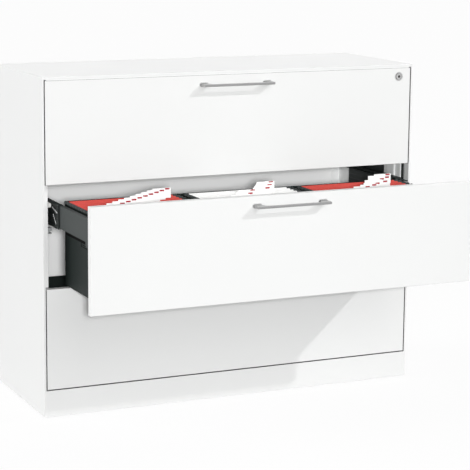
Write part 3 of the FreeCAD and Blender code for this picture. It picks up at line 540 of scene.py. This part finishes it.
def darkened_side(title, dark_tint):
    """White enamel, dark on the rear part of the inner face."""
    material = painted(title, ENAMEL, roughness=0.36, cloud=0.02, gaps=True)
    tree = material.node_tree
    spot = add(tree, "SeparateXYZ", {0: add(tree, "TexCoord").outputs["Object"]}).outputs
    across = calculate(tree, "ABSOLUTE", spot["X"])
    inner_face = calculate(tree, "COMPARE", across, SIDE_INNER_FACE, FACE_BAND)
    rear = calculate(tree, "GREATER_THAN", spot["Y"], DARK_TINT_START)
    tint_where(material, calculate(tree, "MULTIPLY", inner_face, rear), dark_tint)
    return material


side_enamel = darkened_side("side_enamel", dark_tint=(0.025, 0.03, 0.029))
own_finish = {
    "lock_core": metal("core_chrome", (0.7, 0.7, 0.7), roughness=0.25, streaks=0.1, gaps=True),
    "top_panel": painted("top_enamel", ENAMEL, roughness=0.4, cloud=0.02),
    # Painted light: the back panel's white is brighter than the enamel elsewhere, to lift the
    # shaded wall inside the open cabinet.
    "back_panel": painted("lit_back_enamel", (0.94, 0.945, 0.94), roughness=0.4, cloud=0.02),
    "left_side_panel": side_enamel,
    "right_side_panel": side_enamel,
}
print("own finishes:", list(own_finish))

# %% [markdown]
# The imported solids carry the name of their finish, so painting them is a loop.

# %% Paint the solids
for name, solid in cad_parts.items():
    for slot in solid.material_slots:
        slot.material = own_finish.get(name, finishes[plain_name(slot.material)])
    if not solid.material_slots:
        print("no finish on", name)
print("painted solids:", len(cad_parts))

# %% [markdown]
# ## Hanging files
#
# A hanging file is one sheet of card, folded at the bottom, whose two top hems each hold a flat
# steel bar. The bars stick out at both ends, and their hooks ride on the rails of the drawer. On
# the front hem of most files stands a tab with a label. Each kind of piece is built for one lane
# at a time, from the same list of places, so that the pieces of a file stay together.

# %% Where the files hang
LANES = {"left": -0.3703, "middle": 0.0, "right": 0.3703}
FILES_IN_LANE = 12
FILE_PITCH = 0.023
FIRST_FILE = -0.297
RAIL_TOP = 0.631
CARD_TOP = 0.6372
CARD_FOOT = 0.3985
CARD_HALF = 0.159        # half the card's width
POCKET = 0.007           # from the front leaf to the back leaf

file_places = [FIRST_FILE + FILE_PITCH * k for k in range(FILES_IN_LANE)]
print("files hang from", round(file_places[0], 3), "to", round(file_places[-1], 3))


# %% Mesh helpers
def piece(name, fill, finish_name, body="middle_drawer", own=None):
    """A mesh that fill draws. It takes the named finish, or its own, and rides on the body."""
    mesh = bpy.data.meshes.new(name)
    drawing = bmesh.new()
    fill(drawing)
    bmesh.ops.recalc_face_normals(drawing, faces=drawing.faces)
    drawing.to_mesh(mesh)
    drawing.free()
    mesh.materials.append(own or finishes[finish_name])
    made = bpy.data.objects.new(name, mesh)
    bpy.context.scene.collection.objects.link(made)
    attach(made, body)
    return made


def cloth_of_rows(drawing, rows):
    """Joins rows of points, all of one length, into a sheet of four-sided faces."""
    grid = [[drawing.verts.new(point) for point in row] for row in rows]
    for lower, upper in zip(grid, grid[1:]):
        for a, b, c, d in zip(lower, lower[1:], upper[1:], upper):
            drawing.faces.new((a, b, c, d))


def prism(drawing, near_points, far_points):
    """The solid between two outlines with the same number of points."""
    near = [drawing.verts.new(point) for point in near_points]
    far = [drawing.verts.new(point) for point in far_points]
    drawing.faces.new(near)
    drawing.faces.new(list(reversed(far)))
    for index in range(len(near)):
        following = (index + 1) % len(near)
        drawing.faces.new((near[index], far[index], far[following], near[following]))


def plate(drawing, outline, y, thickness):
    """A flat plate: an outline of (x, z) points at y, with its thickness towards the back."""
    near = [(x, y, z) for x, z in outline]
    far = [(x, y + thickness, z) for x, z in outline]
    prism(drawing, near, far)


def rounded(x0, z0, x1, z1, radius, steps=4):
    """The outline of a rectangle with rounded corners."""
    corners = (
        (x1 - radius, z0 + radius, 270),
        (x1 - radius, z1 - radius, 0),
        (x0 + radius, z1 - radius, 90),
        (x0 + radius, z0 + radius, 180),
    )
    points = []
    for x, z, start in corners:
        for step in range(steps + 1):
            turn = math.radians(start + 90 * step / steps)
            points.append((x + radius * math.cos(turn), z + radius * math.sin(turn)))
    return points


print("mesh helpers ready")

# %% [markdown]
# The folders are thin sheets. We draw the line of the card from the side, repeat it across the
# lane, join the lines, and let a modifier give the sheet its thickness. Each folder bows and leans
# by an amount of its own, as hanging card does.

# %% The line of a folder
HEM = 0.0027             # how far a hem reaches in
HEM_DROP = 0.009
HEM_ROUND = 0.0006
HEM_CREST = (0.7, 0.25)                              # shares of the hem
LEAF_BOW = ((0.3, 0.8), (1.0, 0.5), (0.7, 0.25))     # shares of the bow and of the height
LEAF_FOOT = (0.0002, 0.06)                           # how far in, and share of the height
FOLD_IN = 0.0012
FOLD_RISE = 0.003


def folder_profile(bow):
    """The card's (y, z) points: the front hem, the front leaf, the fold, and back up."""
    height = CARD_TOP - CARD_FOOT
    hem_foot, shoulder = CARD_TOP - HEM_DROP, CARD_TOP - HEM_ROUND
    front = [(HEM, hem_foot), (HEM, shoulder)]
    front += [(HEM * share, CARD_TOP) for share in HEM_CREST]
    front += [(0.0, shoulder), (0.0, hem_foot)]
    front += [(-bow * out, CARD_FOOT + share * height) for out, share in LEAF_BOW]
    front += [(LEAF_FOOT[0], CARD_FOOT + LEAF_FOOT[1] * height)]
    back = [(POCKET - y, z) for y, z in reversed(front)]
    fold_top = CARD_FOOT + FOLD_RISE
    fold = [(FOLD_IN, fold_top), (POCKET / 2, CARD_FOOT), (POCKET - FOLD_IN, fold_top)]
    return front + fold + back


print("points in a folder's line:", len(folder_profile(0.0)))

# %% Folders
BOW_RANGE = (0.0004, 0.0026)
LEAN_RANGE = (-0.0006, 0.0006)
FOLDER_COLUMNS = 10
CARD_THICKNESS = 0.0005


def fill_folders(drawing, middle, seed):
    """The folders of one lane."""
    draw = random.Random(seed)
    for y in file_places:
        bow = draw.uniform(*BOW_RANGE)
        lean = draw.uniform(*LEAN_RANGE)
        rows = []
        for column in range(FOLDER_COLUMNS + 1):
            share = column / FOLDER_COLUMNS
            x = middle - CARD_HALF + 2 * CARD_HALF * share
            profile = folder_profile(bow * math.sin(math.pi * share))
            rows.append([(x, y + py + lean * (pz - CARD_FOOT), pz) for py, pz in profile])
        cloth_of_rows(drawing, rows)


def thicken(made, thickness):
    """Gives a sheet its thickness, half to each side."""
    modifier = made.modifiers.new("thickness", "SOLIDIFY")
    modifier.thickness = thickness
    modifier.offset = 0


folders = {}
for seed, (lane, middle) in enumerate(LANES.items()):
    colour = "white_card" if lane == "middle" else "red_card"
    folders[lane] = piece(f"{lane}_folders", lambda d: fill_folders(d, middle, seed), colour)
    thicken(folders[lane], CARD_THICKNESS)
print("folders:", [len(f.data.polygons) for f in folders.values()])

# %% [markdown]
# The bars are punched from flat steel, with a round nose at each end that stands on the rail. A
# flat outline with a thickness is all that they need.

# %% File bars with their hooks
HOOK_HALF = 0.174        # half the bar's length
BAR_HEIGHT = 0.0045
BAR_THICKNESS = 0.0016
BAR_IN_HEM = 0.0005
NOSE = 0.0045
NOSE_STEPS = 8
NOSE_START = CARD_HALF - 0.002


def hook_outline(middle):
    """A bar seen from the front, as (x, z): a straight run with a round nose at each end."""
    low, high = RAIL_TOP, RAIL_TOP + BAR_HEIGHT
    points = []
    for side, start, first, last in ((1, -90, low, high), (-1, 90, high, low)):
        shoulder = middle + side * NOSE_START
        x, z = middle + side * (HOOK_HALF - NOSE), RAIL_TOP + NOSE
        turns = [math.radians(start + 180 * step / NOSE_STEPS) for step in range(NOSE_STEPS + 1)]
        nose = [(x + NOSE * math.cos(t), z + NOSE * math.sin(t)) for t in turns]
        points += [(shoulder, first), *nose, (shoulder, last)]
    return points


def fill_bars(drawing, middle):
    """Two bars for each folder, one in each hem."""
    for y in file_places:
        for offset in (BAR_IN_HEM, POCKET - BAR_IN_HEM - BAR_THICKNESS):
            plate(drawing, hook_outline(middle), y + offset, BAR_THICKNESS)


bar_paint = painted("bar_paint", (0.04, 0.046, 0.046), roughness=0.45)
bars = {
    lane: piece(f"{lane}_file_bars", lambda d: fill_bars(d, middle), "pin_steel", own=bar_paint)
    for lane, middle in LANES.items()
}
print("bars:", [len(b.data.polygons) for b in bars.values()])

# %% [markdown]
# Each tab is a small white plate on the front hem. In the left lane the tabs step evenly to the
# right from file to file. In the other lanes they stand less evenly, so each one has a place of
# its own. Most labels carry a plain red mark near their right end.

# %% Tabs and their labels
TAB_WIDTH = 0.058
TAB_TOP = 0.664
TAB_FOOT = 0.632
TAB_CORNER = 0.001
TAB_PROUD = 0.0008       # how far a tab stands in front of its file
TAB_THICKNESS = 0.0009
MARK_GAP = 0.0045        # from a mark to the tab's right edge
MARK_WIDTH = 0.014
MARK_TOP = 0.6634
MARK_FOOT = 0.6588
MARK_CORNER = 0.0004
MARK_PROUD = 0.0010
MARK_THICKNESS = 0.0003

TABBED = range(1, 11)
TAB_RIGHT_EDGES = {
    "left": [-0.4645 + 0.0263 * i for i in range(10)],
    "middle": [-0.0975, -0.062, -0.038, -0.024, -0.009, 0.050, 0.064, 0.079, 0.093, 0.106],
    "right": [0.307, 0.331, 0.366, 0.390, 0.429, 0.419, 0.444, 0.475, 0.469, 0.503],
}
MARKED = {"left": TABBED, "middle": (3, 5, 6, 8, 10), "right": (1, 2, 3, 4, 5, 7, 8, 10)}


def fill_tabs(drawing, lane):
    """The tabs of one lane."""
    for k, edge in zip(TABBED, TAB_RIGHT_EDGES[lane]):
        outline = rounded(edge - TAB_WIDTH, TAB_FOOT, edge, TAB_TOP, TAB_CORNER)
        plate(drawing, outline, file_places[k] - TAB_PROUD, TAB_THICKNESS)


def fill_label_marks(drawing, lane):
    """The marks on the labels of one lane."""
    for k, edge in zip(TABBED, TAB_RIGHT_EDGES[lane]):
        if k in MARKED[lane]:
            end = edge - MARK_GAP
            outline = rounded(end - MARK_WIDTH, MARK_FOOT, end, MARK_TOP, MARK_CORNER, steps=2)
            plate(drawing, outline, file_places[k] - MARK_PROUD, MARK_THICKNESS)


label_ink = card("label_ink", (0.36, 0.015, 0.025))
for lane in LANES:
    tabs = piece(f"{lane}_tabs", lambda d: fill_tabs(d, lane), "white_card")
    marks = piece(f"{lane}_label_marks", lambda d: fill_label_marks(d, lane), "red_card",
                  own=label_ink)
    print(lane, "tabs:", len(tabs.data.polygons), "marks:", len(marks.data.polygons))

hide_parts("middle_red_files")
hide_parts("middle_red_files")
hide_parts("middle_white_files")

# %% [markdown]
# ## Small trim
#
# The last pieces are thin lines and plates that bring the steelwork to life, among them a strip of
# painted shade under each runner and a strip of painted light above the top front. Each is a slab,
# a disc or a flat bar on the face of a solid, and all of them stay within the solids' box.

# %% Trim shapes
def slab(drawing, low, high, broken=0.2):
    """A box between two corners. Its edges are broken by a share of its thinnest side."""
    made = bmesh.ops.create_cube(drawing, size=1.0)["verts"]
    for vertex in made:
        spans = zip(low, high, vertex.co)
        vertex.co = Vector([(b + a) / 2 + (b - a) * v for a, b, v in spans])
    edges = [edge for edge in drawing.edges if edge.verts[0] in made and edge.verts[1] in made]
    thinnest = min(b - a for a, b in zip(low, high))
    bmesh.ops.bevel(drawing, geom=edges, offset=thinnest * broken, segments=2, affect="EDGES")


def disc(drawing, centre, radius, depth, sides=32):
    """A flat round plate that faces the front."""
    x, y, z = centre
    turns = [2 * math.pi * step / sides for step in range(sides)]
    outline = [(x + radius * math.cos(t), z + radius * math.sin(t)) for t in turns]
    plate(drawing, outline, y, depth)


def bar_between(drawing, start, end, width, x0, x1):
    """A flat bar from one (y, z) point to another, between two distances across."""
    start, end = Vector(start), Vector(end)
    along = end - start
    aside = Vector((-along.y, along.x)).normalized() * width / 2
    corners = (start - aside, end - aside, end + aside, start + aside)
    prism(drawing, [(x0, c.x, c.y) for c in corners], [(x1, c.x, c.y) for c in corners])


print("trim shapes ready")

# %% [markdown]
# Under the drawer runner, the open drawer's sides are folded from sheet. A dark strip just under
# the runner is painted shade, for the shade that the runner throws on the side, and dark lines
# below it draw the outline of a slot pressed into the sheet.

# %% Painted shade strips and slot outlines on the sides
LINE_PROUD = 0.0005
SHADE_STRIP_FRONT_GAP = 0.015
SHADE_STRIP_BACK_GAP = 0.004
SHADE_STRIP_HEIGHTS = (0.5405, 0.5480)
SLOT_LINES = (           # from y, to y, from z, to z
    (-0.240, -0.155, 0.5290, 0.5308),
    (-0.240, -0.162, 0.5345, 0.5362),
    (-0.157, -0.154, 0.5290, 0.5410),
)


def fill_side_shade_lines(drawing, mirror):
    """The strip of painted shade and the slot's outline. Mirror is 1 for the left side and -1 for
    the right.
    """
    low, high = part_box("middle_left_side")
    x0, x1 = sorted((mirror * (low[0] - LINE_PROUD), mirror * low[0]))
    shade_strip = (low[1] + SHADE_STRIP_FRONT_GAP, high[1] - SHADE_STRIP_BACK_GAP, *SHADE_STRIP_HEIGHTS)
    for y0, y1, z0, z1 in (shade_strip, *SLOT_LINES):
        slab(drawing, (x0, y0, z0), (x1, y1, z1))


# A near black paint for the strip of painted shade under each runner and for the slot's outline.
seam_shade = painted("seam_shade", (0.002, 0.002, 0.002), roughness=0.8, gloss=0.05)
for side, mirror in (("left", 1), ("right", -1)):
    piece(f"{side}_side_shade_lines", lambda d: fill_side_shade_lines(d, mirror), "tray_steel", own=seam_shade)
print("shade_strips and slots: lines on each side:", 1 + len(SLOT_LINES))

# %% [markdown]
# A release lever of pale zinc sits on the outer face of each middle runner: a stout bar and a thin
# leg. The runners of the closed drawers lie further back, so their levers do too.

# %% Release levers
LEVER_BARS = (           # start, end, width
    ((0.006, 0.6170), (-0.037, 0.6070), 0.0035),
    ((-0.002, 0.5980), (-0.027, 0.5730), 0.0022),
)
LEVER_FACE, LEVER_OUT = 0.5645, 0.5656
RUNNER_BACK = 0.053      # how much further back a closed drawer's middle runners lie
DRAWER_STEP = 0.3        # from one drawer to the next
LEVER_PLACES = {
    "bottom": (RUNNER_BACK, -DRAWER_STEP),
    "middle": (0.0, 0.0),
    "top": (RUNNER_BACK, DRAWER_STEP),
}


def fill_levers(drawing, back, lift):
    """The levers of one drawer, moved back and up from those of the middle drawer."""
    for side in (-1, 1):
        for (y0, z0), (y1, z1), width in LEVER_BARS:
            bar_between(drawing, (y0 + back, z0 + lift), (y1 + back, z1 + lift), width,
                        side * LEVER_FACE, side * LEVER_OUT)


lever_zinc = painted("lever_zinc", (0.62, 0.63, 0.63), roughness=0.4)
for drawer, (back, lift) in LEVER_PLACES.items():
    levers = piece(f"{drawer}_release_levers", lambda d: fill_levers(d, back, lift), "pin_steel",
                   body=f"{drawer}_middle_member", own=lever_zinc)
    print(levers.name, "faces:", len(levers.data.polygons))

# %% [markdown]
# Under the top panel a pale strip closes the gap above the top drawer's front. It is painted light,
# which keeps the gap from showing the shade that would fall in it. A dark round plate sits in the
# middle of the lock core's chrome.

# %% Gap strip and key plate
STRIP_END_GAP = 0.004
STRIP_FRONT, STRIP_BACK = -0.0172, -0.0120
STRIP_ABOVE_FRONT = 0.0003
STRIP_BELOW_PANEL = 0.0001
KEY_PLATE_RADIUS = 0.0042
KEY_PLATE_PROUD = 0.0003
KEY_PLATE_DEPTH = 0.0008


def fill_gap_light_strip(drawing):
    """A pale strip of painted light from just above the top front to just under the top panel."""
    front_low, front_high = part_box("top_front_panel")
    panel_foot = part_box("top_panel")[0][2]
    low = (front_low[0] + STRIP_END_GAP, STRIP_FRONT, front_high[2] + STRIP_ABOVE_FRONT)
    high = (front_high[0] - STRIP_END_GAP, STRIP_BACK, panel_foot - STRIP_BELOW_PANEL)
    slab(drawing, low, high)


def fill_key_plate(drawing):
    """A disc on the middle of the lock core's face."""
    low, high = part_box("lock_core")
    centre = ((low[0] + high[0]) / 2, low[1] - KEY_PLATE_PROUD, (low[2] + high[2]) / 2)
    disc(drawing, centre, KEY_PLATE_RADIUS, KEY_PLATE_DEPTH)


# Painted light: the pale strip fills the gap, where shade would darken it.
gap_light_strip = piece("top_gap_light_strip", fill_gap_light_strip, "post_steel", body="cabinet")
key_plate = piece("key_plate", fill_key_plate, "foot_plastic", body="lock_core")
print("trim:", gap_light_strip.name, key_plate.name)
